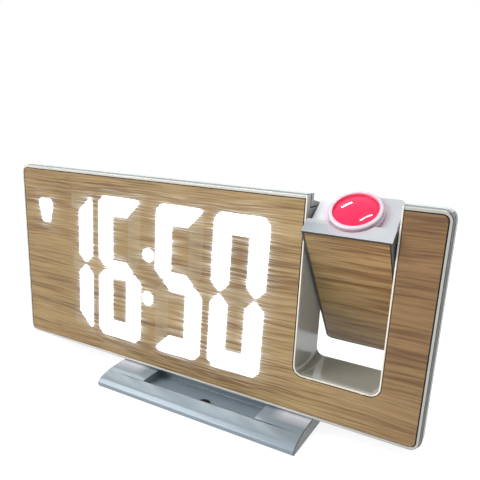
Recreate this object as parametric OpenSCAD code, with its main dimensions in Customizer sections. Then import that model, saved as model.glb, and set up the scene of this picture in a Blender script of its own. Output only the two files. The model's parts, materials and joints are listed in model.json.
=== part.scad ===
// Projection alarm clock: a slim wood-faced LED clock on a low stand, with a
// projector arm that swings on two pivots in a notch at its right-hand end.
// Frame: +X to the right, +Y to the back, +Z up. The origin lies on the table,
// below the middle of the body's width, in the plane of the front face.

/* [Body] */
// Width of the clock body
body_w = 195; // [190:1:205]
// Height of the clock body
body_h = 85; // [83:1:92]
// Depth of the body from the front face to the back
body_d = 24; // [24:0.5:28]
// Corner radius of the body seen from the front
body_r = 4; // [3:0.5:6]
// Wall thickness of the rear shell
wall = 1.9; // [1.6:0.1:2.1]
// Bare rim between the body's outline and the wood panel
rim_w = 1.9; // [1.7:0.1:2.4]
// Thickness of the wood panel
panel_t = 2; // [1.6:0.1:2.2]
// Depth at which the straight rim of the body ends
rim_d = 6.6; // [6:0.1:7]

/* [Notch] */
// Width of the notch that the arm folds into
notch_w = 32.2; // [31:0.1:34]
// Distance of the notch from the right side of the body
notch_side = 16.3; // [16:0.1:20]
// Depth of the notch below the top of the body
notch_drop = 68; // [66:0.5:70]
// Radius of the notch's lower corners
notch_r = 3.4; // [2:0.1:5]
// Width of the pale edge around the notch
lip_w = 0.6; // [0.5:0.1:1.2]

/* [Display] */
// Height of a digit
digit_h = 65; // [56:0.1:66]
// Space left of the first digit, for the small mark
mark_room = 18.2; // [17:0.1:20]
// Space between the last digit and the notch
end_room = 13.9; // [12:0.1:15]
// Space between two neighbouring digits
digit_gap = 3.5; // [2:0.1:4]
// Width of a display segment
stroke = 8.5; // [6:0.1:8.6]
// Extra room for the colon
colon_room = 3.6; // [3:0.1:4]
// Radius of a colon dot
dot_r = 2.9; // [2:0.1:3]
// Lean of the digits in degrees
digit_lean = 1.4; // [0:0.1:2]

/* [Projector arm] */
// Tilt of the arm from its folded place in degrees
arm_tilt = 36.87; // [0:0.01:143]
// Clearance between the arm and each side of the notch
arm_gap = 0.4; // [0.3:0.05:0.6]
// Thickness of the arm
arm_t = 22.4; // [22.2:0.1:23]
// Depth of the arm's front shell
arm_front_d = 6.3; // [6:0.1:7]
// Wall thickness of the arm's shells
arm_wall = 1.5; // [1.2:0.1:1.6]
// Distance of the pivot axis behind the front face
pivot_y = 13.9; // [13:0.1:14.5]
// Distance of the pivot axis below the top of the body
pivot_drop = 14.15; // [13.8:0.05:15]
// Radius of the two pivots
pivot_r = 3.5; // [3:0.1:4]
// Clearance under the arm's lower edge as it swings
sweep_gap = 0.7; // [0.5:0.1:1]

/* [Lens] */
// Outer radius of the foot of the focus ring
ring_r = 9.7; // [9.6:0.1:9.9]
// Radius of the projection lens
lens_r = 7.8; // [7:0.1:7.8]
// Distance of the lens axis behind the arm's front face
lens_y = 12.2; // [12.1:0.1:12.3]
// Height of the dome of the lens
lens_dome = 1.2; // [0.8:0.1:1.5]

/* [Stand] */
// Width of the stand
stand_w = 93.5; // [85:0.5:110]
// Offset of the stand's middle from the middle of the body
stand_x = 11.25; // [5:0.25:15]
// Reach of the stand in front of the body
stand_front = 16.8; // [15:0.1:22]
// Distance of the stand's back edge behind the front face
stand_back = 22; // [21:0.5:26]
// Height of the body's underside above the table
stand_h = 6.4; // [6:0.1:9]
// Width of the tray in the stand
tray_w = 53.7; // [40:0.1:60]
// Distance of the tray's front wall in front of the body
tray_front = 10; // [9:0.1:11]
// Thickness of the steel plate in the stand
plate_t = 1; // [0.8:0.1:1.4]

/* [Controls] */
// Radius of a rear button
button_r = 3.2; // [2.6:0.1:3.5]
// Spacing of the rear buttons
button_pitch = 15; // [11:0.5:17]
// Travel of a rear button
button_travel = 0.6; // [0.4:0.1:0.6]
// Width of the cell door
door_w = 22; // [21:0.5:24]
// Travel of the cell door before it lifts out
door_travel = 5.5; // [4:0.5:6]

/* [Hidden] */

$fn = 64;
eps = 0.01;
// Clearances: a running fit, a sliding fit, a seam that shows, and a loose hole
run_gap = 0.05;
slide_gap = 0.1;
seam = 0.2;
loose = 0.3;

// Body
body_z0 = stand_h;
body_z1 = body_z0 + body_h;
body_mid = (body_z0 + body_z1) / 2;
body_x = body_w / 2;
groove_y = 1.2;
groove_w = 0.7;
shell_y0 = groove_y + groove_w;
rim_step = 0.55;
neck_inset = 0.9;
ledge_in = 5;
ledge_t = 1.2;
ledge_y = panel_t + ledge_t;
bulge_inset = 2.4;
bulge_slope = 3.6;
bulge_side = 1.9;
bulge_foot = 1.2;
bulge_r = 4;
shell_in_y = body_d - wall;

// Notch
notch_x1 = body_x - notch_side;
notch_x0 = notch_x1 - notch_w;
notch_mid = (notch_x0 + notch_x1) / 2;
floor_z = body_z1 - notch_drop;
tunnel_t = 2.1;
floor_t = 1.6;
cover_y = 3.4;
cover_drop = 5.4;
cover_gap = 0.5;
pivot_z = body_z1 - pivot_drop;
floor_sweep = norm([pivot_y, pivot_z - floor_z]);

// Arm, drawn folded and then tilted about the pivots
arm_top = body_z1 - 0.9;
arm_z0 = pivot_z - sqrt(pow(floor_sweep - sweep_gap, 2) - pivot_y * pivot_y);
arm_x0 = notch_x0 + arm_gap;
arm_x1 = notch_x1 - arm_gap;
arm_step = 0.8;
rear_drop = 2;
rear_top = arm_top - rear_drop;
rear_x0 = arm_x0 + arm_step;
rear_x1 = arm_x1 - arm_step;
arm_rim = 0.8;
arm_panel_t = 1.2;
arm_corner_r = 2.6;
arm_back_r = 3;
arm_boss_y = arm_t - arm_wall - 4;

// Display
panel_x0 = -body_x + rim_w;
digit_w = (notch_x0 - panel_x0 - mark_room - end_room - colon_room - 3 * digit_gap) / 4;
digit_pitch = digit_w + digit_gap;
first_digit = panel_x0 + mark_room + digit_w / 2;
digit_x = [first_digit, first_digit + digit_pitch, first_digit + 2 * digit_pitch + colon_room,
    first_digit + 3 * digit_pitch + colon_room];
colon_x = (digit_x[1] + digit_x[2]) / 2;
colon_dz = 9.6;
digit_text = [1, 6, 5, 0];
// Segments lit for each figure, in the order top, middle, bottom, upper left,
// upper right, lower left, lower right
lit = [[1, 0, 1, 1, 1, 1, 1], [0, 0, 0, 0, 1, 0, 1], [1, 1, 1, 0, 1, 1, 0],
    [1, 1, 1, 0, 1, 0, 1], [0, 1, 0, 1, 1, 0, 1], [1, 1, 1, 1, 0, 0, 1],
    [1, 1, 1, 1, 0, 1, 1], [1, 0, 0, 0, 1, 0, 1], [1, 1, 1, 1, 1, 1, 1],
    [1, 1, 1, 1, 1, 0, 1]];
mark_x = panel_x0 + 13.8;
mark_z = 21.9;
mask_x0 = panel_x0 + 8.1;
mask_x1 = notch_x0 - 8.6;
mask_z0 = body_z0 + ledge_in + 0.6;
mask_z1 = body_z1 - ledge_in - 0.6;
diffuser_t = 0.4;
board_t = 1.6;
pillar_h = 3;
socket_h = 7;
back_y = shell_in_y - socket_h - 0.5;
main_y = back_y - board_t;
led_y = main_y - pillar_h - board_t;
mask_y = panel_t + diffuser_t;
led_h = 0.8;

// Main board and what stands on its back
main_z0 = body_z0 + 15.6;
main_z1 = body_z1 - 13.4;
button_z = body_z1 - 21.4;
button_mid = (mask_x0 + mask_x1) / 2 - 6;
button_count = 5;
switch_h = 3.5;
nub_h = 0.8;
button_out = 1;
door_t = 0.8;
door_lip = 0.7;
lip_t = 0.4;
cell_x = mask_x1 - 28.4;
cell_z = body_z0 + 30;
cell_r = 10;
cell_t = 3.2;
clip_t = 1.2;
chip_x = mask_x0 + 27;
buzzer_x = chip_x + 28;
buzzer_r = 6;
buzzer_h = 6;
usb_z = body_z0 + 54;
usb_w = 14.4;
usb_len = 14;
usb_wall = 0.5;
tongue_t = 1.8;
jack_z = body_z0 + 32;
jack_w = 9;
jack_h = 6.4;
jack_len = 11;
jack_bore = 2.8;
jack_pin = 0.9;
port_gap = 0.2;
port_x = -body_x + bulge_inset + bulge_side + 0.1;

// Screws and the posts that they enter
post_inset = 9.6;
post_low = body_z0 + 8.3;
post_high = body_z1 - 10.4;
post_at = [[-body_x + post_inset, post_low], [-body_x + post_inset, post_high],
    [notch_x0 - 5.5, post_low], [body_x - post_inset, post_low], [body_x - post_inset, post_high]];
post_r = 2.8;
post_y = main_y - 0.1;
boss_r = post_r + 0.4;
screw_r = 1.25;
head_r = 2.6;
head_h = 1.8;

// Stand
stand_x0 = stand_x - stand_w / 2;
stand_x1 = stand_x + stand_w / 2;
stand_wall = 1.6;
pad_t = 0.4;
pad_in = 1.4;
plate_in = 2.2;
plate_z1 = pad_t + plate_t;
tray_floor = plate_z1 + 0.8;
tray_back = 4;
tray_x0 = stand_x - tray_w / 2;
stand_screw_x = [stand_x - 26, stand_x + 26];
stand_screw_y = 14.5;
tower_r = 3.5;
body_boss_z = body_z0 + 7;
tray_screw_x = stand_x + 2.5;
tray_screw_y = -7.2;
tray_screw_out = 1.3;

// Pivots, along +X from the left wall of the notch
bush_wall = 0.9;
collar_r = 5.5;
collar_t = arm_gap + arm_step - 0.1;
washer_t = 0.3;
clip_w = 0.7;
clip_r = pivot_r - 0.5;
pivot_out = 1.3;
pivot_in = 1.2;
barrel_bore = 2;

// Optics, along the lens axis of the folded arm
tube_wall = 0.6;
tube_r = lens_r + slide_gap + tube_wall;
tube_z0 = rear_top - 22.5;
tube_z1 = rear_top + 1.5;
ring_z0 = rear_top + 0.15;
ring_z1 = arm_top + 1;
ring_foot = 1;
ring_grip = ring_r - 0.4;
ring_edge = 0.4;
cell_wall = 0.8;
lens_z0 = rear_top + 1.2;
lens_edge = 1;
carrier_z0 = arm_z0 + 12;
carrier_z1 = tube_z0 - 2;
carrier_w = 20;
carrier_y = 3 - lens_y;
carrier_back = arm_t - arm_wall - slide_gap - lens_y;
optic_r = 7.2;
optic_edge = 1.2;
image_t = 1.2;
image_z = carrier_z1 - 6;
wire_r = 0.8;
behind = back_y - pivot_y;
feed_route = [[-9, behind + 0.2, -9], [-9, behind + 1.7, -9], [-8.6, behind + 3.3, -7],
    [-7.4, behind + 2.7, -3], [-5.6, behind + 0.8, -0.8], [-4, 0, 0], [-2, 0, 0]];
arm_end = carrier_z0 - board_t - pivot_z;
arm_route = [[-2, 0, 0], [1, 0, 0], [4, 0, 0], [6, 0, 0], [7.2, 0, -0.6], [7.7, 0, -2], [7.6, 0, -5],
    [6.8, 0, -9], [6.5, 0, -14], [6.5, 0, -22], [6.5, 0, -30], [6.8, 0, arm_end + 1], [8, 0, arm_end - 1.2],
    [9.8, 0, arm_end - 1.8], [10.1, 0, arm_end - 0.4]];

function unit(v) = v / norm(v);

// Points of the fillet of radius r at the corner b between a and c
function fillet(a, b, c, r, n) =
    let (u = unit(a - b), v = unit(c - b), half = acos(u * v) / 2,
        centre = b + unit(u + v) * r / sin(half),
        p = b + u * r / tan(half) - centre, q = b + v * r / tan(half) - centre,
        start = atan2(p[1], p[0]), turn = atan2(q[1], q[0]) - start,
        sweep = turn > 180 ? turn - 360 : turn < -180 ? turn + 360 : turn)
    [for (i = [0:n]) centre + r * [cos(start + sweep * i / n), sin(start + sweep * i / n)]];

// Outline with each corner i rounded to radii[i]
function rounded(points, radii, n = 5) =
    [for (i = [0:len(points) - 1]) let (k = len(points))
        each (radii[i] <= 0 ? [points[i]]
            : fillet(points[(i + k - 1) % k], points[i], points[(i + 1) % k], radii[i], n))];

// Convex counter-clockwise outline drawn in by d
function drawn_in(points, d) =
    [for (i = [0:len(points) - 1])
        let (k = len(points), b = points[i], e = unit(b - points[(i + k - 1) % k]),
            f = unit(points[(i + 1) % k] - b), m = [-e[1], e[0]], n = [-f[1], f[0]])
        b + d * (m + n) / (1 + m * n)];

// Sketch in X and Z, extruded along Y from y0 to y1
module front_slab(y0, y1) {
    translate([0, y1, 0]) rotate([90, 0, 0]) linear_extrude(height = y1 - y0) children();
}

// Sketch in Y and Z, extruded along X from x0 to x1
module side_slab(x0, x1) {
    translate([x0, 0, 0]) rotate([90, 0, 90]) linear_extrude(height = x1 - x0) children();
}

// Sketch in X and Y, extruded along Z from z0 to z1
module flat_slab(z0, z1) {
    translate([0, 0, z0]) linear_extrude(height = z1 - z0) children();
}

module block(low, high) {
    translate(low) cube(high - low);
}

module rod_x(x0, x1, r) {
    translate([x0, 0, 0]) rotate([0, 90, 0]) cylinder(h = x1 - x0, r = r);
}

module rod_y(y0, y1, r) {
    translate([0, y1, 0]) rotate([90, 0, 0]) cylinder(h = y1 - y0, r = r);
}

module rod_z(z0, z1, r) {
    translate([0, 0, z0]) cylinder(h = z1 - z0, r = r);
}

// Rectangle with four round corners, centred
module plate(w, h, r) {
    square([w - 2 * r, h], center = true);
    square([w, h - 2 * r], center = true);
    for (x = [-1, 1], z = [-1, 1]) translate([x * (w / 2 - r), z * (h / 2 - r)]) circle(r);
}

// Round wire of radius r swept along points; each ring faces its neighbours' line
module wire(points, r, sides = 8) {
    last = len(points) - 1;
    rings = [for (i = [0:last])
        let (t = unit(points[min(i + 1, last)] - points[max(i - 1, 0)]),
            u = unit(cross(t, [0.01, 1, 0.02])), v = cross(t, u))
        each [for (k = [0:sides - 1]) points[i] + r * (cos(360 * k / sides) * u + sin(360 * k / sides) * v)]];
    sides_faces = [for (i = [0:last - 1], k = [0:sides - 1])
        each [[i * sides + k, i * sides + (k + 1) % sides, (i + 1) * sides + k],
            [i * sides + (k + 1) % sides, (i + 1) * sides + (k + 1) % sides, (i + 1) * sides + k]]];
    ends = [[for (k = [sides - 1:-1:0]) k], [for (k = [0:sides - 1]) last * sides + k]];
    polyhedron(points = rings, faces = concat(sides_faces, ends));
}

// Outline of the body, drawn in by d
module body_sheet(d) {
    translate([0, body_mid]) plate(body_w - 2 * d, body_h - 2 * d, max(body_r - d, 0.6));
}

// Outline of the notch grown by g, and lowered by a further floor
module notch_sheet(g = 0, floor = 0) {
    r = notch_r + g;
    w = notch_w + 2 * g;
    low = floor_z - g - floor;
    translate([notch_x0 - g + r, low]) square([w - 2 * r, body_z1 + 5 - low]);
    translate([notch_x0 - g, low + r]) square([w, body_z1 + 5 - low - r]);
    for (x = [notch_x0 - g + r, notch_x1 + g - r]) translate([x, low + r]) circle(r);
}

// Back of the body, which draws in towards the rear, drawn in by a further d
module bulge(d) {
    y0 = rim_d - 1;
    low = body_z0 + bulge_foot + d;
    top = body_z1 - bulge_inset - d;
    half = body_x - bulge_inset - d;
    intersection() {
        side_slab(-body_x, body_x)
            polygon(rounded([[y0, low], [body_d - d, low], [body_d - d, top - bulge_slope], [y0, top]],
                [0, 2.5, bulge_r - d, 0]));
        flat_slab(body_z0, body_z1)
            polygon(rounded([[-half, y0], [half, y0], [half - bulge_side, body_d - d],
                [-half + bulge_side, body_d - d]], [0, 0, bulge_r - d, bulge_r - d]));
        front_slab(0, body_d + 1) translate([0, (low + top) / 2]) plate(2 * half, top - low, 5 - d);
    }
}

// Closed outline of the whole body behind the groove
module body_solid() {
    front_slab(0, shell_y0) body_sheet(rim_step);
    front_slab(shell_y0 - eps, rim_d) body_sheet(0);
    bulge(0);
}

// Dip in the notch's floor, turned about the pivots with the notch's own corners
module notch_sweep() {
    half = notch_w / 2;
    intersection() {
        at_pivot() translate([notch_mid, 0, 0]) rotate([0, 90, 0]) rotate_extrude()
            polygon(rounded([[10, -half], [floor_sweep, -half], [floor_sweep, half], [10, half]],
                [0, notch_r, notch_r, 0], 8));
        block([notch_x0, -1, floor_z - 3], [notch_x1, body_d + 1, floor_z + notch_r + 1]);
    }
}

module at_posts() {
    for (p = post_at) translate([p[0], 0, p[1]]) children();
}

// Room around the posts in whatever lies between the two shells
module post_room() {
    at_posts() rod_y(0, body_d, boss_r + slide_gap);
}

module at_pivot() {
    translate([0, pivot_y, pivot_z]) children();
}

// Turns the folded arm to its tilt
module tilted() {
    at_pivot() rotate([arm_tilt, 0, 0]) translate([0, -pivot_y, -pivot_z]) children();
}

module at_lens() {
    translate([notch_mid, lens_y, 0]) children();
}

// ---- Body shells

// Moulded front frame: the bright rim, the ledge that the wood panel lies on
// and the screw posts
module front_bezel() color("gainsboro") difference() {
    union() {
        front_slab(0, groove_y) body_sheet(rim_step);
        front_slab(groove_y - eps, ledge_y) body_sheet(neck_inset);
        at_posts() rod_y(panel_t - eps, post_y, post_r);
    }
    front_slab(-1, panel_t) body_sheet(rim_w - seam);
    block([-body_x + ledge_in, 0, body_z0 + ledge_in],
        [notch_x0 - ledge_in, ledge_y + eps, body_z1 - ledge_in]);
    front_slab(-1, ledge_y + 1) notch_sheet(lip_w + run_gap);
    at_posts() rod_y(ledge_y + 1, post_y + 1, screw_r + run_gap);
}

// Wood-grain face plate, with a window for each lit segment
module front_panel() color("burlywood") difference() {
    front_slab(0, panel_t) body_sheet(rim_w);
    front_slab(-1, panel_t + 1) notch_sheet(lip_w + seam);
    front_slab(-1, panel_t + 1) lit_sheet(0);
}

// Rear housing: rim, drawn-in back, the tunnel of the notch, bosses and openings
module rear_shell() color("silver") difference() {
    union() {
        difference() {
            union() {
                front_slab(shell_y0, rim_d) body_sheet(0);
                bulge(0);
            }
            front_slab(shell_y0 - 1, ledge_y + run_gap) body_sheet(neck_inset - run_gap);
            front_slab(ledge_y - eps, rim_d - wall / 2) body_sheet(wall);
            front_slab(ledge_y, rim_d) body_sheet(bulge_inset + wall);
            bulge(wall);
        }
        intersection() {
            union() {
                front_slab(0, ledge_y + run_gap) notch_sheet(lip_w);
                front_slab(ledge_y + run_gap, body_d) notch_sheet(tunnel_t, floor_t);
            }
            body_solid();
        }
        at_posts() rod_y(post_y + run_gap, shell_in_y + wall / 2, boss_r);
        for (x = stand_screw_x) translate([x, stand_screw_y, 0])
            rod_z(body_z0 + bulge_foot + wall / 2, body_boss_z, tower_r);
        for (x = [mask_x0 + 8, mask_x1 - 8], z = [main_z0 + 5, main_z1 - 5])
            translate([x, 0, z]) rod_y(back_y, shell_in_y + wall / 2, 2.5);
    }
    front_slab(-1, body_d + 1) notch_sheet();
    notch_sweep();
    pivot_cover_joint();
    at_pivot()
        rod_x(notch_x0 - tunnel_t - 1, notch_x1 + tunnel_t + 1, pivot_r + bush_wall + 2 * run_gap);
    at_posts() {
        rod_y(0, body_d + 1, screw_r + loose);
        rod_y(body_d - head_h - 1, body_d + 1, head_r + loose);
    }
    for (x = stand_screw_x) translate([x, stand_screw_y, 0]) rod_z(0, body_boss_z - 1, screw_r + run_gap);
    for (k = [0:button_count - 1]) at_button(k) rod_y(shell_in_y - 1, body_d + 1, button_r + slide_gap);
    cell_door_seat();
    for (x = [-4:2:4]) translate([buzzer_x + x, 0, cell_z])
        front_slab(shell_in_y - 1, body_d + 1) plate(1, 9, 0.49);
    side_port(usb_z, usb_w + 2 * port_gap, socket_h + port_gap);
    side_port(jack_z, jack_w + 2 * port_gap, jack_h + port_gap);
}

// Joint that shows round the cover over each pivot, in the walls of the notch
module pivot_cover_joint() for (x = [notch_x0, notch_x1]) {
    low = body_z1 - cover_drop;
    block([x - cover_gap, cover_y, low], [x + cover_gap, cover_y + 0.8, body_z1 + 1]);
    block([x - cover_gap, cover_y, low], [x + cover_gap, body_d + 1, low + cover_gap]);
}

// Cut in the left end wall for a socket of height h across and d deep
module side_port(z, h, d) {
    block([-body_x, back_y - port_gap, z - h / 2], [port_x + 3, back_y + d, z + h / 2]);
}

// Recess with side grooves for the sliding door, and the cell's opening behind it
module cell_door_seat() {
    half = door_w / 2 + slide_gap;
    top = cell_z + half;
    low = cell_z - half - door_travel;
    block([cell_x - half, body_d - door_t - slide_gap, low], [cell_x + half, body_d + 1, top]);
    block([cell_x - half - door_lip, body_d - door_t - lip_t - slide_gap, low],
        [cell_x + half + door_lip, body_d - door_t + slide_gap, top]);
    translate([cell_x, 0, cell_z]) rod_y(shell_in_y - 1, body_d, cell_r + 0.4);
}

module case_screws() color("dimgray") at_posts() difference() {
    union() {
        rod_y(6, body_d - head_h, screw_r);
        rod_y(body_d - head_h - 1, body_d - 1.2, head_r);
    }
    cross_slot(body_d - 1.2);
}

// Cross cut into the face of a screw head at y
module cross_slot(y) {
    block([-1.8, y - 0.5, -0.3], [1.8, y + 1, 0.3]);
    block([-0.3, y - 0.5, -1.8], [0.3, y + 1, 1.8]);
}

// ---- Display

function leaned(points) = [for (p = points) [p[0] + p[1] * tan(digit_lean), p[1]]];

// The seven segments of a figure about its centre, counter-clockwise, with the
// radius of each corner. Where two of them meet at an outer corner, they share its arc.
nose = min(1.2, (digit_w - 2 * stroke) / 4);
segment_gap = 0.25;
half_w = digit_w / 2;
half_h = digit_h / 2;
outer_r = 4.2;
tip_r = 0.6;
function outer_arc(from, to) =
    [for (a = [from:22.5:to]) [half_w - outer_r, half_h - outer_r] + outer_r * [cos(a), sin(a)]];
top_bar = [[-half_w + stroke, half_h - stroke], [half_w - stroke, half_h - stroke],
    each outer_arc(45, 90), each flip_x(outer_arc(45, 90))];
mid_bar = [[-half_w + stroke / 2, 0], [-half_w + stroke, -stroke / 2], [half_w - stroke, -stroke / 2],
    [half_w - stroke / 2, 0], [half_w - stroke, stroke / 2], [-half_w + stroke, stroke / 2]];
upper_right = [[half_w - stroke / 2, 0], [half_w, stroke / 2], each outer_arc(0, 45),
    [half_w - stroke, half_h - stroke], [half_w - stroke, stroke / 2]];
function flip_x(points) = [for (i = [len(points) - 1:-1:0]) [-points[i][0], points[i][1]]];
function flip_z(points) = [for (i = [len(points) - 1:-1:0]) [points[i][0], -points[i][1]]];
bar_radii = [0.5, 0.5, tip_r, 0, 0, 0, 0, tip_r];
side_radii = [nose, nose, 0, 0, tip_r, 0.5, nose];
function reversed(list) = [for (i = [len(list) - 1:-1:0]) list[i]];
segments = [[top_bar, bar_radii], [mid_bar, [for (i = [0:5]) nose]], [flip_z(top_bar), reversed(bar_radii)],
    [flip_x(upper_right), reversed(side_radii)], [upper_right, side_radii],
    [flip_z(flip_x(upper_right)), side_radii], [flip_z(upper_right), reversed(side_radii)]];

module segment(k, d) {
    polygon(leaned(rounded(drawn_in(segments[k][0], segment_gap + d), segments[k][1], 3)));
}

// Small mark at the upper left: a lamp drawn as a tapered drop
module mark_sheet(d) {
    polygon(rounded(drawn_in([[-2.4, -5.4], [2.4, -5.4], [4.4, 3], [3.4, 5.4], [-3.4, 5.4], [-4.4, 3]], d),
        [0.8, 0.8, 1.5, 1.2, 1.2, 1.5], 3));
}

module colon_and_mark(d) {
    for (s = [-1, 1]) translate([colon_x + s * colon_dz * tan(digit_lean), body_mid + s * colon_dz])
        circle(dot_r - d);
    translate([mark_x, body_mid + mark_z]) mark_sheet(d);
}

module lit_sheet(d) {
    for (i = [0:3], k = [0:6]) if (lit[digit_text[i]][k] == 1)
        translate([digit_x[i], body_mid]) segment(k, d);
    colon_and_mark(d);
}

// Light windows of the lit segments, flush with the panel's face
module lit_segments() color("white") front_slab(0, panel_t) lit_sheet(run_gap);

module display_plate(y0, y1) difference() {
    block([mask_x0, y0, mask_z0], [mask_x1, y1, mask_z1]);
    post_room();
}

module diffuser_sheet() color("whitesmoke") display_plate(panel_t, mask_y);

// Reflector block with a cell behind every segment
module segment_mask() color("white") difference() {
    display_plate(mask_y, led_y);
    front_slab(mask_y - 1, led_y + 1) {
        for (x = digit_x, k = [0:6]) translate([x, body_mid]) segment(k, 0.3);
        colon_and_mark(0.3);
    }
}

module led_board() color("darkgreen") display_plate(led_y, led_y + board_t);

// Middle of each segment about the figure's centre
segment_mid = [[0, half_h - stroke / 2], [0, 0], [0, stroke / 2 - half_h],
    [stroke / 2 - half_w, half_h / 2], [half_w - stroke / 2, half_h / 2],
    [stroke / 2 - half_w, -half_h / 2], [half_w - stroke / 2, -half_h / 2]];

module led_chip(x, z) {
    translate([x, 0, z]) block([-1.4, led_y - led_h, -1], [1.4, led_y, 1]);
}

module display_leds() color("ivory") {
    for (x = digit_x, m = segment_mid) led_chip(x + m[0] + m[1] * tan(digit_lean), body_mid + m[1]);
    for (s = [-1, 1]) led_chip(colon_x + s * colon_dz * tan(digit_lean), body_mid + s * colon_dz);
    led_chip(mark_x, body_mid + mark_z);
}

module board_pillars() color("goldenrod") {
    for (x = [mask_x0 + 8, mask_x1 - 8], z = [main_z0 + 5, main_z1 - 5])
        translate([x, 0, z]) rod_y(led_y + board_t, main_y, 2.5);
}

// ---- Electronics on the main board

module main_board() color("green") difference() {
    block([mask_x0, main_y, main_z0], [mask_x1, back_y, main_z1]);
    post_room();
}

// Processor, display driver, crystal and the pin header to the display board
module board_chips() color([0.15, 0.15, 0.17]) {
    translate([chip_x, back_y, cell_z]) {
        block([-5, 0, -5], [5, 1.6, 5]);
        block([10, 0, -3], [18, 1.5, 3]);
        block([-3, 0, 13], [3, 1.2, 17]);
    }
    block([mask_x1 - 26, led_y + board_t, main_z1 - 8], [mask_x1 - 14, main_y, main_z1 - 5.4]);
}

module coin_cell() color("lightgray") translate([cell_x, 0, cell_z])
    rod_y(back_y + clip_t, back_y + clip_t + cell_t, cell_r);

// Spring clip that carries the cell on the board
module cell_clip() color("peru") translate([cell_x, 0, cell_z]) {
    difference() {
        rod_y(back_y, back_y + clip_t + cell_t, cell_r + 1.3);
        rod_y(back_y + clip_t, back_y + clip_t + cell_t + 1, cell_r + slide_gap);
        block([-4, back_y + clip_t, 0], [4, back_y + clip_t + cell_t + 1, cell_r + 3]);
    }
}

module buzzer() color("black") translate([buzzer_x, 0, cell_z]) difference() {
    rod_y(back_y, back_y + buzzer_h, buzzer_r);
    rod_y(back_y + buzzer_h - 1, back_y + buzzer_h + 1, 1);
}

// Socket that gives power out: a metal shell with a contact tongue
module usb_output() translate([port_x, back_y, usb_z]) {
    color("silver") difference() {
        block([0, 0, -usb_w / 2], [usb_len, socket_h, usb_w / 2]);
        block([-1, usb_wall, usb_wall - usb_w / 2], [usb_len - 2, socket_h - usb_wall, usb_w / 2 - usb_wall]);
    }
    color("black") block([1, socket_h / 2, 1.6 - usb_w / 2],
        [usb_len - 2, socket_h / 2 + tongue_t, usb_w / 2 - 1.6]);
}

// Round supply socket with its centre pin
module power_inlet() color("dimgray") translate([port_x, back_y + jack_h / 2, jack_z]) {
    difference() {
        block([0, -jack_h / 2, -jack_w / 2], [jack_len, jack_h / 2, jack_w / 2]);
        rod_x(-1, jack_len - 2, jack_bore);
    }
    rod_x(1, jack_len - 2 + eps, jack_pin);
}

module at_button(k) {
    translate([button_mid + (k - (button_count - 1) / 2) * button_pitch, 0, button_z]) children();
}

module button_switches() color([0.2, 0.2, 0.2]) for (k = [0:button_count - 1]) at_button(k) {
    block([-3, back_y, -3], [3, back_y + switch_h, 3]);
    rod_y(back_y + switch_h - eps, back_y + switch_h + nub_h, 1.7);
}

// Round key: cap, flange behind the wall and a stem that ends above its switch
module rear_button(k) {
    stem_y = back_y + switch_h + nub_h + button_travel + slide_gap;
    at_button(k) {
        rod_y(stem_y, body_d + button_out - 0.3, button_r);
        rod_y(body_d + button_out - 0.3 - eps, body_d + button_out, button_r - 0.3);
        rod_y(shell_in_y - 1.2, shell_in_y - slide_gap, button_r + 1);
    }
}

module mode_button() color("whitesmoke") rear_button(0);
module alarm_button() color("whitesmoke") rear_button(1);
module up_button() color("whitesmoke") rear_button(2);
module down_button() color("whitesmoke") rear_button(3);
module lamp_button() color("whitesmoke") rear_button(4);

// Sliding door: a plate, two side lips in the shell's grooves, and a thumb rib
module battery_door() color("silver") {
    half = door_w / 2;
    inner = body_d - door_t - lip_t;
    block([cell_x - half, inner, cell_z - half], [cell_x + half, body_d, cell_z + half]);
    block([cell_x - half - door_lip, inner, cell_z - half],
        [cell_x + half + door_lip, inner + lip_t, cell_z + half]);
    for (z = [0, 1.6, 3.2]) translate([cell_x, 0, cell_z - half + 3 + z])
        front_slab(body_d - eps, body_d + 0.4) plate(10, 0.8, 0.39);
}

// ---- Pivots in the tunnel walls

// s = -1 for the left wall of the notch, 1 for the right
module at_wall(s) {
    at_pivot() translate([s < 0 ? notch_x0 : notch_x1, 0, 0]) mirror([s > 0 ? 1 : 0, 0, 0]) children();
}

module pivot_bushes() color("ivory") for (s = [-1, 1]) at_wall(s) difference() {
    union() {
        rod_x(-tunnel_t, collar_t, pivot_r + run_gap + bush_wall);
        rod_x(0, collar_t, collar_r);
    }
    rod_x(-tunnel_t - 1, collar_t + 1, pivot_r + run_gap);
}

module spring_washers() color("goldenrod") tilted() for (s = [-1, 1]) at_wall(s) difference() {
    rod_x(-tunnel_t - washer_t, -tunnel_t - 0.02, collar_r);
    rod_x(-tunnel_t - 1, 0, pivot_r + 0.02);
}

module pivot_clips() color("dimgray") tilted() for (s = [-1, 1]) at_wall(s) difference() {
    rod_x(-tunnel_t - washer_t - clip_w, -tunnel_t - washer_t, collar_r);
    rod_x(-tunnel_t - 2, 0, clip_r + 0.02);
    block([-tunnel_t - 2, -2, -collar_r - 1], [0, 2, 0]);
}

// Pivot with its retaining groove; the flange bears inside the arm's wall
module pivot_body() difference() {
    union() {
        rod_x(-tunnel_t - pivot_out, arm_gap + arm_step + arm_wall + pivot_in, pivot_r);
        rod_x(arm_gap + arm_step + arm_wall, arm_gap + arm_step + arm_wall + 1, pivot_r + 1.5);
    }
    difference() {
        rod_x(-tunnel_t - washer_t - clip_w, -tunnel_t - washer_t, pivot_r + 1);
        rod_x(-tunnel_t - 2, 0, clip_r);
    }
}

module pivot_barrel() color("lightgray") tilted() at_wall(-1) difference() {
    pivot_body();
    rod_x(-tunnel_t - 5, 20, barrel_bore);
}

module pivot_pin() color("lightgray") tilted() at_wall(1) pivot_body();

// Wires from the main board to the mouth of the hollow pivot, and on in the arm
module feed_wires() color("red") at_pivot() translate([notch_x0 - tunnel_t, 0, 0])
    wire(feed_route, wire_r);
module arm_wires() color("red") tilted() at_pivot() translate([notch_x0 - tunnel_t, 0, 0])
    wire(arm_route, wire_r);

// ---- Projector arm

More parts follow.
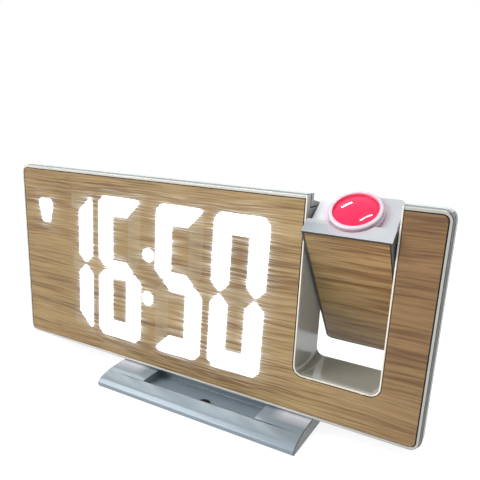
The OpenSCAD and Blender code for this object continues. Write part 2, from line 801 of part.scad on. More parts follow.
// Front outline of the arm, drawn in by d
module arm_sheet(d) {
    w = arm_x1 - arm_x0 - 2 * d;
    r = max(arm_corner_r - d, 0.4);
    translate([arm_x0 + d, arm_z0 + d]) {
        translate([r, 0]) square([w - 2 * r, r * 2]);
        translate([0, r]) square([w, arm_top - arm_z0 - 2 * d - r]);
        for (x = [r, w - r]) translate([x, r]) circle(r);
    }
}

// Plan of the arm's rear shell, drawn in by d
module arm_plan(d) {
    y0 = arm_front_d - (d > 0 ? 1 : 0);
    polygon(rounded([[rear_x0 + d, y0], [rear_x1 - d, y0],
        [rear_x1 - d, arm_t - d], [rear_x0 + d, arm_t - d]], [0, 0, arm_back_r - d, arm_back_r - d]));
}

module at_arm_screws() {
    for (x = [-9, 9]) translate([notch_mid + x, 0, arm_z0 + 5]) children();
}

module arm_front_shell() color("white") tilted() difference() {
    union() {
        difference() {
            front_slab(0, arm_front_d) arm_sheet(0);
            front_slab(arm_panel_t + 1.2, arm_front_d + 1) arm_sheet(arm_wall);
        }
        block([arm_x0 + arm_wall - eps, arm_panel_t, rear_top - arm_wall],
            [arm_x1 - arm_wall + eps, arm_front_d, rear_top]);
        at_arm_screws() rod_y(arm_panel_t, arm_boss_y, 2.4);
    }
    front_slab(-1, arm_panel_t) arm_sheet(arm_rim);
    at_lens() rod_z(rear_top, arm_top + 1, ring_r + loose);
    at_lens() rod_z(rear_top - 5, rear_top + 1, tube_r + run_gap);
    at_arm_screws() rod_y(arm_panel_t + 2, arm_t, screw_r + run_gap);
}

module arm_panel() color("burlywood") tilted()
    front_slab(0, arm_panel_t) arm_sheet(arm_rim + slide_gap);

module arm_rear_shell() color("white") tilted() difference() {
    union() {
        difference() {
            flat_slab(arm_z0 + 0.4, rear_top) arm_plan(0);
            flat_slab(arm_z0 + 0.4 + arm_wall, rear_top - arm_wall) arm_plan(arm_wall);
        }
        at_arm_screws() rod_y(arm_boss_y + run_gap, arm_t - arm_wall / 2, head_r + 1);
    }
    at_lens() rod_z(rear_top - 3, rear_top + 1, tube_r + run_gap);
    at_pivot() rod_x(rear_x0 - 1, rear_x1 + 1, pivot_r + run_gap);
    at_arm_screws() {
        rod_y(arm_boss_y, arm_t + 1, screw_r + loose);
        rod_y(arm_t - head_h, arm_t + 1, head_r + loose);
    }
}

module arm_screws() color("dimgray") tilted() at_arm_screws() difference() {
    union() {
        rod_y(arm_panel_t + 4, arm_t - head_h + eps, screw_r);
        rod_y(arm_t - head_h, arm_t - 0.4, head_r);
    }
    cross_slot(arm_t - 0.4);
}

// ---- Optics

module optics_carrier() color([0.2, 0.2, 0.22]) tilted() at_lens() difference() {
    block([-carrier_w / 2, carrier_y, carrier_z0], [carrier_w / 2, carrier_back, carrier_z1]);
    rod_z(carrier_z0 - 1, carrier_z1 + 1, optic_r + slide_gap);
    block([-optic_r - 0.2, -lens_y, image_z - slide_gap],
        [optic_r + 0.2, optic_r + 0.2, image_z + image_t + slide_gap]);
}

module lamp_board() color("green") tilted() at_lens()
    block([-carrier_w / 2, carrier_y, carrier_z0 - board_t], [carrier_w / 2, carrier_back, carrier_z0]);

module lamp_led() color("red") tilted() at_lens() {
    rod_z(carrier_z0, carrier_z0 + 1.4, 2.4);
    domed_lens(carrier_z0 + 1.4 - eps, 1.8, 0.2, 1.5);
}

// Plano-convex disc of radius r on the plane z0: an edge and a dome
module domed_lens(z0, r, edge, dome) {
    ball = (r * r + dome * dome) / (2 * dome);
    open = asin(r / ball);
    translate([0, 0, z0]) rotate_extrude() polygon([[0, 0], [r, 0],
        each [for (i = [0:10]) ball * [sin(open * (1 - i / 10)), cos(open * (1 - i / 10))]
            + [0, edge + dome - ball]]]);
}

module condenser_lens() color("lightcyan") tilted() at_lens()
    domed_lens(image_z - 9, optic_r, optic_edge, 3);

module image_cell() color([0.1, 0.1, 0.12]) tilted() at_lens()
    block([-optic_r, carrier_y, image_z], [optic_r, optic_r, image_z + image_t]);

// Fixed tube that stands out of the arm's top and carries the focus ring
module lens_tube() color("whitesmoke") tilted() at_lens() difference() {
    union() {
        rod_z(tube_z0, tube_z1, tube_r);
        block([-carrier_w / 2, carrier_y, tube_z0], [carrier_w / 2, carrier_back, tube_z0 + 1.6]);
        for (x = [-carrier_w / 2, carrier_w / 2 - 1.4])
            block([x, 4, carrier_z1], [x + 1.4, carrier_back, tube_z0 + eps]);
    }
    rod_z(tube_z0 - 1, tube_z1 + 1, lens_r + slide_gap);
}

module focus_ring() color("snow") tilted() at_lens() difference() {
    union() {
        rod_z(ring_z0, ring_z0 + ring_foot, ring_r);
        rod_z(ring_z0, ring_z1 - ring_edge, ring_grip);
        translate([0, 0, ring_z1 - ring_edge - eps])
            cylinder(h = ring_edge + eps, r1 = ring_grip, r2 = ring_grip - ring_edge);
    }
    rod_z(ring_z0 - 1, tube_z1 + 0.15, tube_r + 0.08);
    rod_z(ring_z0, ring_z1 + 1, lens_r + 0.15);
}

// Sliding sleeve that the ring moves along the axis, with the lens on its rim
module lens_cell() color("dimgray") tilted() at_lens() difference() {
    rod_z(lens_z0 - 16, lens_z0, lens_r);
    rod_z(lens_z0 - 17, lens_z0 + 1, lens_r - cell_wall);
}

module projection_lens() color([0.95, 0.3, 0.45]) tilted() at_lens()
    domed_lens(lens_z0, lens_r, lens_edge, lens_dome);

// ---- Stand

// Side outline of the stand; the seat under the body's back is higher
module stand_profile() {
    seat = stand_h + bulge_foot;
    polygon(rounded([[-stand_front + 0.4, pad_t], [stand_back, pad_t], [stand_back - 2, seat],
        [rim_d + seam, seat], [rim_d + seam, stand_h], [0, stand_h], [-9, stand_h - 0.6],
        [-stand_front + 2, stand_h - 2.4], [-stand_front, stand_h - 4.4]],
        [0.4, 0.6, 1.2, 0, 0, 0, 9, 3, 1.2]));
}

// Hollow of the stand, open below
module stand_hollow() {
    top = stand_h - stand_wall;
    seat_y = rim_d + seam + stand_wall;
    polygon([[-stand_front + 2.4, plate_z1 - eps], [stand_back - 2.2, plate_z1 - eps],
        [stand_back - 3.4, top + bulge_foot], [seat_y, top + bulge_foot], [seat_y, top], [0, top],
        [-9, top - 0.8], [-stand_front + 4, top - 1.9]]);
}

module stand_shell() color("silver") difference() {
    union() {
        difference() {
            side_slab(stand_x0, stand_x1) stand_profile();
            difference() {
                side_slab(stand_x0 + stand_wall, stand_x1 - stand_wall) stand_hollow();
                block([tray_x0 - 1.4, -tray_front - 1.4, 0],
                    [tray_x0 + tray_w + 1.4, tray_back + 1.4, stand_h]);
            }
        }
        for (x = stand_screw_x) translate([x, stand_screw_y, 0])
            rod_z(plate_z1, stand_h + bulge_foot, tower_r);
    }
    block([tray_x0, -tray_front, tray_floor], [tray_x0 + tray_w, tray_back, stand_h + 1]);
    block([stand_x0 + plate_in, -stand_front + plate_in, -1],
        [stand_x1 - plate_in, stand_back - plate_in - 0.6, plate_z1]);
    for (x = stand_screw_x) translate([x, stand_screw_y, 0]) {
        rod_z(0, stand_h + 5, screw_r + loose);
        rod_z(0, plate_z1 + 0.6, head_r + loose);
    }
    translate([tray_screw_x, tray_screw_y, 0]) rod_z(0, stand_h, head_r + slide_gap);
}

// Steel weight plate screwed under the stand
module stand_plate() color("gray") difference() {
    block([stand_x0 + plate_in + slide_gap, -stand_front + plate_in + slide_gap, pad_t],
        [stand_x1 - plate_in - slide_gap, stand_back - plate_in - 0.6 - slide_gap, plate_z1 - 0.05]);
    for (x = stand_screw_x) translate([x, stand_screw_y, 0]) rod_z(0, plate_z1 + 1, head_r + loose);
    translate([tray_screw_x, tray_screw_y, 0]) rod_z(0, plate_z1 + 1, 1 + run_gap);
}

module stand_pad() color([0.1, 0.1, 0.1])
    block([stand_x0 + pad_in, -stand_front + pad_in, 0],
        [stand_x1 - pad_in, stand_back - pad_in - 0.6, pad_t]);

module stand_screws() color("dimgray") for (x = stand_screw_x) translate([x, stand_screw_y, 0]) {
    rod_z(pad_t, plate_z1 + 0.6, head_r);
    rod_z(plate_z1 + 0.6 - eps, body_boss_z - 1.5, screw_r);
}

module tray_screw() color([0.05, 0.05, 0.05]) translate([tray_screw_x, tray_screw_y, 0]) {
    rod_z(pad_t, plate_z1, 1);
    rod_z(plate_z1 - eps, tray_floor + tray_screw_out, head_r);
}

front_bezel();
front_panel();
lit_segments();
diffuser_sheet();
segment_mask();
led_board();
display_leds();
board_pillars();
main_board();
board_chips();
coin_cell();
cell_clip();
buzzer();
usb_output();
power_inlet();
button_switches();
rear_shell();
case_screws();
pivot_bushes();
feed_wires();
battery_door();
mode_button();
alarm_button();
up_button();
down_button();
lamp_button();
stand_shell();
stand_plate();
stand_pad();
tray_screw();
stand_screws();
arm_front_shell();
arm_panel();
arm_rear_shell();
arm_screws();
pivot_barrel();
pivot_pin();
pivot_clips();
spring_washers();
arm_wires();
optics_carrier();
lamp_board();
lamp_led();
condenser_lens();
image_cell();
lens_tube();
focus_ring();
lens_cell();
projection_lens();
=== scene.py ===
import json
import math

import bpy
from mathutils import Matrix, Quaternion, Vector
from mathutils.bvhtree import BVHTree


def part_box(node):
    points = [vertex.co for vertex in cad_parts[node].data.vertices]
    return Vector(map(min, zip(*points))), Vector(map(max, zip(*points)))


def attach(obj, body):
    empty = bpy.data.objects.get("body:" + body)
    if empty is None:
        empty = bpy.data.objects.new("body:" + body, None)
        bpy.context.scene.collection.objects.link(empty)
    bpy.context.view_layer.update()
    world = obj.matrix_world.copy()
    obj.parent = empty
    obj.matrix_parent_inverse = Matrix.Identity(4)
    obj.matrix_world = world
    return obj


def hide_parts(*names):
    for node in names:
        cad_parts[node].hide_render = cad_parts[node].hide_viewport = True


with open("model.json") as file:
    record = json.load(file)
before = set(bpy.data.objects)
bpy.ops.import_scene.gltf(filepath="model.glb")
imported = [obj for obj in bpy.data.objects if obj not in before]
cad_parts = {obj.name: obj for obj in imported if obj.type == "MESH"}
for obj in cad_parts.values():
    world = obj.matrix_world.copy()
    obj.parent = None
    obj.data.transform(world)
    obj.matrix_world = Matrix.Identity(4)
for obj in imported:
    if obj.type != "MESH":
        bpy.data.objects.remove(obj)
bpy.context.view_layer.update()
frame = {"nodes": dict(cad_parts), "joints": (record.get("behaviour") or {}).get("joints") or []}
nodes = frame["nodes"]
scene = bpy.context.scene
scene.view_settings.view_transform = "Standard"

# ---- Camera
# A normal lens held to the right of the clock, a little above it, looking back along
# the wood face. A small shift brings the clock to its place in the frame.
tilt_degrees = (74.8632, -2.6807, 28.9639)
bpy.ops.object.camera_add(location=(0.11465, -0.16643, 0.1121),
                          rotation=[math.radians(angle) for angle in tilt_degrees])
camera = bpy.context.object
camera.data.lens = 38.468
camera.data.shift_x = -0.0076
camera.data.shift_y = 0.0573
camera.data.clip_start = 0.01
scene.camera = camera


# ---- Floor and light
# A white table in a studio tent with a bright ceiling. A soft box at the upper left
# models the forms, and two small strip lights draw the glints on the lens.
def colour(code):
    """Linear colour of an sRGB hex code."""
    parts = [int(code[i:i + 2], 16) / 255 for i in (1, 3, 5)]
    return [p / 12.92 if p <= 0.04045 else ((p + 0.055) / 1.055) ** 2.4 for p in parts] + [1.0]


def add(tree, kind, inputs=None, **settings):
    """Adds a shader node with its settings, and sets or links its inputs."""
    item = tree.nodes.new("ShaderNode" + kind)
    for key, value in settings.items():
        setattr(item, key, value)
    for key, value in (inputs or {}).items():
        if isinstance(value, bpy.types.NodeSocket):
            tree.links.new(value, item.inputs[key])
        else:
            item.inputs[key].default_value = value
    return item


def sees_white(tree):
    """1 on rays from the camera, a gloss or glass, which meet plain white around the
    object, and 0 on the rays that light it."""
    rays = add(tree, "LightPath").outputs
    either = add(tree, "Math", {0: rays["Is Camera Ray"], 1: rays["Is Glossy Ray"]},
                 operation="MAXIMUM")
    either = add(tree, "Math", {0: either.outputs[0], 1: rays["Is Transmission Ray"]},
                 operation="MAXIMUM")
    return either.outputs[0]


def blank_material(name):
    """New material with a node tree."""
    made = bpy.data.materials.new(name)
    made.use_nodes = True
    return made


tent = bpy.data.worlds.new("studio_tent")
scene.world = tent
tent.use_nodes = True
tree = tent.node_tree
way = add(tree, "TexCoord")
way = add(tree, "SeparateXYZ", {0: way.outputs["Generated"]})
# The cloth glows most overhead, and least on the right, where the tent is open
ceiling = add(tree, "MapRange", {"Value": way.outputs["Z"], "From Min": 0.5, "From Max": 1.0,
                                 "To Min": 0.42, "To Max": 3.6})
opening = add(tree, "MapRange", {"Value": way.outputs["X"], "From Min": -0.1, "From Max": 0.7,
                                 "To Min": 1.0, "To Max": 0.15})
level = add(tree, "Math", {0: ceiling.outputs[0], 1: opening.outputs[0]}, operation="MULTIPLY")
cloth = add(tree, "Background", {"Color": colour("#F3F8FD"), "Strength": level.outputs[0]})
white = add(tree, "Background", {"Color": colour("#FFFFFF"), "Strength": 1.0})
sky = add(tree, "MixShader", {0: sees_white(tree), 1: cloth.outputs[0], 2: white.outputs[0]})
tree.links.new(sky.outputs[0], tree.nodes["World Output"].inputs["Surface"])

bpy.ops.mesh.primitive_plane_add(size=6.0)
floor = bpy.context.object
floor.name = "table_top"
# White paper board: it lights the object as a pale matt card, and looks white itself
# apart from the object's shadow
paper = blank_material("white_paper_board")
tree = paper.node_tree
tree.nodes.remove(tree.nodes["Principled BSDF"])
card = add(tree, "BsdfDiffuse", {"Color": colour("#DADADA")})
shaded = add(tree, "BsdfDiffuse", {"Color": colour("#8C8C8C")})
lift = add(tree, "Emission", {"Color": colour("#FFFFFF"), "Strength": 0.88})
bright = add(tree, "AddShader", {0: shaded.outputs[0], 1: lift.outputs[0]})
board = add(tree, "MixShader", {0: sees_white(tree), 1: card.outputs[0], 2: bright.outputs[0]})
tree.links.new(board.outputs[0], tree.nodes["Material Output"].inputs["Surface"])
floor.data.materials.append(paper)

# Place of each lamp, the spot that it faces, its turn in degrees, width, height and watts
for name, place, aim, roll, width, height, watts in (
        ("soft_box_left", (-0.5, -0.6, 0.5), (0.0, 0.0, 0.05), 0, 0.5, 0.5, 4.2),
        ("strip_light_left", (-0.1923, 0.1796, 0.5563), (0.0615, 0.0052, 0.0887), -17,
         0.13, 0.032, 0.75),
        ("strip_light_right", (0.0779, -0.0776, 0.6399), (0.0695, 0.0016, 0.0856), 50,
         0.2, 0.02, 0.7)):
    turn = (Vector(aim) - Vector(place)).to_track_quat("-Z", "Y")
    turn = turn @ Quaternion((0, 0, 1), math.radians(roll))
    bpy.ops.object.light_add(type="AREA", location=place, rotation=turn.to_euler())
    lamp = bpy.context.object
    lamp.name = name
    lamp.data.shape = "RECTANGLE"
    lamp.data.size = width
    lamp.data.size_y = height
    lamp.data.energy = watts
    # The strips draw glints and nothing else
    lamp.visible_diffuse = name == "soft_box_left"


# ---- Rear housing
# The clock's main moulding in ABS, sprayed satin silver: a rim round the front, a back
# that draws in, and the tunnel of the notch, whose bright lip reaches the front face.
def shader_of(material):
    """The one shader of a material."""
    return material.node_tree.nodes["Principled BSDF"]


def finish(name, tint, rough, metal=0.0, grain=0.4, shift=0.06, relief=0.008):
    """Material of a moulded, painted or plated surface. Specks of grain mm over clouds of
    22 mm shift its colour by a share and vary its gloss. The specks stand up relief mm."""
    clouds_per_metre = 45.0
    made = blank_material(name)
    tree = made.node_tree
    shader = shader_of(made)
    shader.inputs["Metallic"].default_value = metal
    place = add(tree, "TexCoord").outputs["Object"]
    speck = add(tree, "TexNoise", {"Vector": place, "Scale": 1000 / grain, "Detail": 2.0})
    cloud = add(tree, "TexNoise", {"Vector": place, "Scale": clouds_per_metre, "Detail": 2.0})
    both = add(tree, "Math", {0: speck.outputs["Fac"], 1: cloud.outputs["Fac"]}, operation="ADD")
    spread = {"Value": both.outputs[0], "From Min": 0.7, "From Max": 1.3}
    level = add(tree, "MapRange", spread)
    middle = colour(tint)[:3]
    dark = [part * (1 - shift) for part in middle] + [1.0]
    light = [min(1.0, part * (1 + shift)) for part in middle] + [1.0]
    paint = add(tree, "MixRGB", {0: level.outputs[0], 1: dark, 2: light})
    gloss = add(tree, "MapRange", {**spread, "To Min": rough * 0.85,
                                   "To Max": min(1.0, rough * 1.15)})
    bump = add(tree, "Bump", {"Height": speck.outputs["Fac"], "Distance": relief / 1000})
    tree.links.new(paint.outputs[0], shader.inputs["Base Color"])
    tree.links.new(gloss.outputs[0], shader.inputs["Roughness"])
    tree.links.new(bump.outputs[0], shader.inputs["Normal"])
    return made


def choose(piece):
    """Makes a piece the only selected one, for the operators that follow."""
    bpy.ops.object.select_all(action="DESELECT")
    bpy.context.view_layer.objects.active = piece
    piece.select_set(True)


def smooth(piece):
    """Smooth shading of the chosen piece, in which its large faces stay flat."""
    bpy.ops.object.shade_smooth()
    shading = piece.modifiers.new("shading", "WEIGHTED_NORMAL")
    shading.weight = 100
    bpy.ops.object.modifier_apply(modifier=shading.name)


def rounded(node, name, edge, *materials, steps=3):
    """Moulding that stands for a CAD node: its triangles are joined into whole faces and
    its edges are rounded by edge mm. The first material covers it."""
    piece = bpy.data.objects.new(name, nodes[node].data.copy())
    scene.collection.objects.link(piece)
    choose(piece)
    bpy.ops.mesh.customdata_custom_splitnormals_clear()
    bpy.ops.object.mode_set(mode="EDIT")
    bpy.ops.mesh.select_all(action="SELECT")
    bpy.ops.mesh.remove_doubles(threshold=2e-6)
    bpy.ops.mesh.dissolve_limited(angle_limit=math.radians(0.3))
    bpy.ops.object.mode_set(mode="OBJECT")
    bevel = piece.modifiers.new("rounding", "BEVEL")
    bevel.width = edge / 1000
    bevel.segments = steps
    bevel.limit_method = "ANGLE"
    bevel.angle_limit = math.radians(30)
    bevel.use_clamp_overlap = False
    bpy.ops.object.modifier_apply(modifier=bevel.name)
    smooth(piece)
    piece.data.materials.clear()
    for material in materials:
        piece.data.materials.append(material)
    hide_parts(node)
    return piece


# Satin silver paint: soft edges to its reflections, and flakes that are drawn coarser
# than real ones, so that they show as a faint sparkle
silver_paint = finish("satin_silver_paint_on_abs", "#B2B3AD", 0.22, grain=0.25)
# The lip of the notch is cream, painted brighter as a painted highlight where its rounded edge
# catches the light
lip_highlight_paint = finish("lip_paint_with_painted_highlight", "#F2E8D6", 0.3, grain=0.25)
# Painted shade darkens the end walls, and they shine less
end_shade_paint = finish("silver_paint_with_painted_shade_on_ends", "#5E605E", 0.24, grain=0.25)
shader_of(end_shade_paint).inputs["Specular IOR Level"].default_value = 0.2
# The grooves round the pivots' covers are painted near-black: painted shade for the dark shadow line
# in the gap beside the arm
groove_shade_black = finish("black_abs_as_painted_groove_shade", "#141415", 0.6)
# The notch's floor is glossier, and a painted reflection of the wood gives it some warmth
floor_reflection_paint = finish("silver_paint_with_painted_wood_reflection", "#A8A79B", 0.12, grain=0.25)
# The top is the palest: painted light where it faces the bright ceiling
top_light_paint = finish("silver_paint_with_painted_top_light", "#C8CDCC", 0.22, grain=0.25)
housing = rounded("rear_shell", "rear_housing", 0.2, silver_paint, lip_highlight_paint, end_shade_paint,
                  groove_shade_black, floor_reflection_paint, top_light_paint)
SILVER, LIP_HIGHLIGHT, END_SHADE, GROOVE_SHADE, NOTCH_FLOOR, TOP_LIGHT = range(6)
_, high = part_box("rear_shell")
# The rim's ends, the end walls and the top lie beyond these
rim_x = high.x - 0.0013
end_x = high.x - 0.0075
top_z = high.z - 0.0064
lip_depth = 0.0006
# The notch's walls stand 0.5 mm off the arm, and each has a groove as deep round the
# cover of its pivot: down behind the front, and back along the cover's foot
arm_low, arm_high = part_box("arm_front_shell")
gap = 0.0005
wall_left, wall_right = arm_low.x - gap, arm_high.x + gap
groove_front, groove_back = 0.0035, 0.0042
cover_foot = high.z - 0.0054
floor_top = arm_low.z + 0.0046
for face in housing.data.polygons:
    x, y, z = face.center
    off_wall = min(abs(x - wall_left), abs(x - wall_right))
    round_cover = off_wall < gap and y > groove_front and z > cover_foot
    in_notch = z < floor_top and wall_left - 0.0004 < x < wall_right + 0.0004
    if round_cover and (y < groove_back or z < cover_foot + gap):
        # The grooves get the painted shade
        face.material_index = GROOVE_SHADE
    elif abs(x) > rim_x or (abs(x) > end_x and abs(face.normal.x) > 0.7):
        # The ends and end walls get the painted shade
        face.material_index = END_SHADE
    elif in_notch and y > lip_depth and face.normal.z > 0.3:
        face.material_index = NOTCH_FLOOR
    elif z > top_z and face.normal.z > 0.7:
        face.material_index = TOP_LIGHT
    else:
        # Faces at the front edge get the lip's painted highlight
        face.material_index = LIP_HIGHLIGHT if y < lip_depth else SILVER
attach(housing, "body")


# ---- Front bezel
# A slim ABS frame in bright silver that clips round the wood face, with its edges
# rolled over, and the ledge and posts behind.
def tinted(material, share, tint):
    """Mixes a tint into a material's colour, by a share from another node."""
    tree = material.node_tree
    colour_in = shader_of(material).inputs["Base Color"]
    mixed = add(tree, "MixRGB", {0: share, 1: colour_in.links[0].from_socket, 2: colour(tint)})
    tree.links.new(mixed.outputs[0], colour_in)


# The silver paint where the mould polishes it, brighter and a little metallic, with painted shade
# that dulls it towards the right end
bright_paint = finish("bright_silver_paint_on_abs", "#C8C4BA", 0.24, metal=0.1, grain=0.25)
tree = bright_paint.node_tree
place = add(tree, "TexCoord").outputs["Object"]
spot = add(tree, "SeparateXYZ", {0: place}).outputs
bezel_right_shade = add(tree, "MapRange", {"Value": spot["X"], "From Min": 0.05, "From Max": 0.095})
tinted(bright_paint, bezel_right_shade.outputs[0], "#B4B0A8")
# The ends of the frame get the same painted shade as the housing's ends
frame_end_shade_paint = finish("silver_paint_with_painted_shade_on_frame_ends", "#4F514F", 0.24, grain=0.25)
shader_of(frame_end_shade_paint).inputs["Specular IOR Level"].default_value = 0.2
bezel = rounded("front_bezel", "front_frame", 0.35, bright_paint, frame_end_shade_paint, top_light_paint)
BRIGHT, FRAME_END_SHADE, FRAME_TOP_LIGHT = range(3)
for face in bezel.data.polygons:
    if abs(face.normal.x) > 0.4 and abs(face.center.x) > end_x:
        face.material_index = FRAME_END_SHADE
    elif face.normal.z > 0.9 and face.center.z > top_z:
        # The frame's top gets the same painted top light
        face.material_index = FRAME_TOP_LIGHT
    else:
        face.material_index = BRIGHT
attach(bezel, "body")


# ---- Display
# White LEDs shine through a reflector block, a diffuser and light windows. The lit
# windows are so bright that they look plain white.
def refinish(**materials):
    """Gives CAD nodes that keep their shape the materials named for them."""
    for name, material in materials.items():
        nodes[name].material_slots[0].material = material


# Clear acrylic with a frosted back: the light in it is even, with a faint haze of 3 mm
window = blank_material("light_pipe_acrylic")
tree = window.node_tree
shader = shader_of(window)
place = add(tree, "TexCoord").outputs["Object"]
haze = add(tree, "TexNoise", {"Vector": place, "Scale": 350.0, "Detail": 1.0})
shine = add(tree, "MapRange", {"Value": haze.outputs["Fac"], "To Min": 1.5, "To Max": 1.9})
shader.inputs["Base Color"].default_value = colour("#FFFDF4")
shader.inputs["Roughness"].default_value = 0.35
shader.inputs["Emission Color"].default_value = colour("#FFFDF2")
tree.links.new(shine.outputs[0], shader.inputs["Emission Strength"])
# The reflector and the diffuser scatter the light as plain matt whites
reflector = finish("white_reflector_abs", "#E9E9E4", 0.5, grain=0.6)
diffuser = finish("opal_pet_sheet", "#F2F2EE", 0.6, grain=0.3)
# Green lacquer over glass cloth, whose weave shows through as a coarse mottle
solder_mask = finish("green_solder_mask_on_fr4", "#1F5A35", 0.35, grain=0.9, shift=0.18, relief=0.02)
# Phosphor makes the LEDs' packages a pale yellow
led_body = finish("led_package_with_phosphor", "#E8DFA8", 0.4, grain=0.3)
refinish(lit_segments=window, segment_mask=reflector, diffuser_sheet=diffuser,
         led_board=solder_mask, display_leds=led_body, main_board=solder_mask)


# ---- Wood face
# A 2 mm acrylic sheet under an oak-grain film, cut back for the light windows. Light
# leaks into the film around them, further along the pale streaks of the grain.
def oak_film(name, moved, right_shade_and_tint):
    """Printed oak film, satin to the eye: long streaks along X over broad bands, waved a
    little, with short dark pores. Returns it with its colour and its fine lines."""
    wave_mm = (60, 60, 25)
    sway_mm = 2.2
    made = blank_material(name)
    tree = made.node_tree
    shader = shader_of(made)
    place = add(tree, "TexCoord").outputs["Object"]
    mm = add(tree, "Mapping", {"Vector": place, "Location": moved, "Scale": (1000, 1000, 1000)})
    broad = add(tree, "VectorMath", {0: mm.outputs[0], 1: [1 / size for size in wave_mm]},
                operation="MULTIPLY")
    wave = add(tree, "TexNoise", {"Vector": broad.outputs[0], "Scale": 1.0, "Detail": 2.0})
    sway = add(tree, "MapRange", {"Value": wave.outputs["Fac"], "To Min": -sway_mm,
                                  "To Max": sway_mm})
    lift = add(tree, "CombineXYZ", {"Z": sway.outputs[0]})
    flow = add(tree, "VectorMath", {0: mm.outputs[0], 1: lift.outputs[0]}, operation="ADD")
    # Bands, streaks, fine lines and pores: mm along, into and across the grain, and detail
    layers = []
    for sizes, detail in (((120, 60, 9), 2), ((34, 14, 0.85), 2), ((16, 7, 0.42), 1),
                          ((9, 5, 0.35), 0)):
        scaled = add(tree, "VectorMath", {0: flow.outputs[0], 1: [1 / size for size in sizes]},
                     operation="MULTIPLY")
        noise = add(tree, "TexNoise", {"Vector": scaled.outputs[0], "Scale": 1.0, "Detail": detail})
        layers.append(noise.outputs["Fac"])
    band, streak, fine, pore = layers
    tone = add(tree, "Math", {0: band, 1: 0.9}, operation="MULTIPLY")
    tone = add(tree, "Math", {0: streak, 1: 1.1, 2: tone.outputs[0]}, operation="MULTIPLY_ADD")
    tone = add(tree, "Math", {0: fine, 1: 0.6, 2: tone.outputs[0]}, operation="MULTIPLY_ADD")
    # Dark, middle and pale wood by the tone, and then the pores
    middle = add(tree, "MapRange", {"Value": tone.outputs[0], "From Min": 1.06, "From Max": 1.3})
    pale = add(tree, "MapRange", {"Value": tone.outputs[0], "From Min": 1.28, "From Max": 1.6})
    hole = add(tree, "MapRange", {"Value": pore, "From Min": 0.6, "From Max": 0.72, "To Max": 0.4})
    wood = add(tree, "MixRGB", {0: middle.outputs[0], 1: colour("#7B5A34"), 2: colour("#A28557")})
    wood = add(tree, "MixRGB", {0: pale.outputs[0], 1: wood.outputs[0], 2: colour("#B5996B")})
    wood = add(tree, "MixRGB", {0: hole.outputs[0], 1: wood.outputs[0], 2: colour("#7E5C3C")})
    # Painted shade greys it to the left. To the right, most of all near the top, it takes the tint
    # it is given: painted shade on the wood face, a redder tone on the arm's strip
    spot = add(tree, "SeparateXYZ", {0: place}).outputs
    left = add(tree, "MapRange", {"Value": spot["X"], "From Min": 0.05, "From Max": -0.06})
    wood = add(tree, "MixRGB", {0: left.outputs[0], 1: wood.outputs[0], 2: (0.8, 0.77, 0.67, 1)},
               blend_type="MULTIPLY")
    right = add(tree, "MapRange", {"Value": spot["X"], "From Min": 0.055, "From Max": 0.085})
    high = add(tree, "MapRange", {"Value": spot["Z"], "From Min": 0.02, "From Max": 0.085,
                                  "To Min": 0.6, "To Max": 1.1})
    right_shade_and_tint_share = add(tree, "Math", {0: right.outputs[0], 1: high.outputs[0]}, operation="MULTIPLY",
                use_clamp=True)
    wood = add(tree, "MixRGB", {0: right_shade_and_tint_share.outputs[0], 1: wood.outputs[0], 2: right_shade_and_tint},
               blend_type="MULTIPLY")
    rough = add(tree, "MapRange", {"Value": fine, "To Min": 0.4, "To Max": 0.56})
    bump = add(tree, "Bump", {"Height": tone.outputs[0], "Distance": 0.00003})
    tree.links.new(wood.outputs[0], shader.inputs["Base Color"])
    tree.links.new(rough.outputs[0], shader.inputs["Roughness"])
    tree.links.new(bump.outputs[0], shader.inputs["Normal"])
    return made, wood.outputs[0], fine


def slice_up(piece, node, axes, pitch):
    """Cuts a piece across the axes every pitch mm, so that its shading and the values at
    its points change in short steps."""
    choose(piece)
    bpy.ops.object.mode_set(mode="EDIT")
    bpy.ops.mesh.select_all(action="SELECT")
    bpy.ops.mesh.quads_convert_to_tris()
    low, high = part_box(node)
    for axis in axes:
        normal = [int(k == axis) for k in range(3)]
        for k in range(1, int((high[axis] - low[axis]) * 1000 / pitch)):
            cut = list(low)
            cut[axis] += k * pitch / 1000
            bpy.ops.mesh.select_all(action="SELECT")
            bpy.ops.mesh.bisect(plane_co=cut, plane_no=normal)
    bpy.ops.mesh.customdata_custom_splitnormals_clear()
    bpy.ops.object.mode_set(mode="OBJECT")
    smooth(piece)


def search_tree(node):
    """Tree of a CAD node's faces, for distances and rays."""
    mesh = nodes[node].data
    return BVHTree.FromPolygons([v.co for v in mesh.vertices], [p.vertices for p in mesh.polygons])


sheet = rounded("front_panel", "wood_face", 0.12, steps=2)
slice_up(sheet, "front_panel", (0, 2), 1.0)

# Each point's distance from the lit windows, and its depth inside a cell of the
# reflector, less than 0 over a wall. The mark to the left of first_cell_x has no cells.
windows = search_tree("lit_segments")
reflectors = search_tree("segment_mask")
mask_low, mask_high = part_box("segment_mask")
window_depth = 0.001
first_cell_x = -0.0655
glow_mm = sheet.data.attributes.new("glow_mm", "FLOAT", "POINT")
cell_mm = sheet.data.attributes.new("cell_mm", "FLOAT", "POINT")
for k, vertex in enumerate(sheet.data.vertices):
    x, _, z = vertex.co
    glow_mm.data[k].value = windows.find_nearest((x, window_depth, z))[3] * 1000
    over_mask = first_cell_x < x < mask_high.x and mask_low.z < z < mask_high.z
    hit = reflectors.ray_cast(Vector((x, 0, z)), Vector((0, 1, 0)), mask_high.y)[0]
    middle = Vector((x, (mask_low.y + mask_high.y) / 2, z))
    sign = 1 if over_mask and hit is None else -1
    cell_mm.data[k].value = reflectors.find_nearest(middle)[3] * 1000 * sign

# On the wood face the tint to the right is painted shade, darkest near the top
sheet_film, wood, fine = oak_film("oak_film_on_acrylic", (0, 0, 0), (0.6, 0.48, 0.4, 1))
tree = sheet_film.node_tree
shader = shader_of(sheet_film)
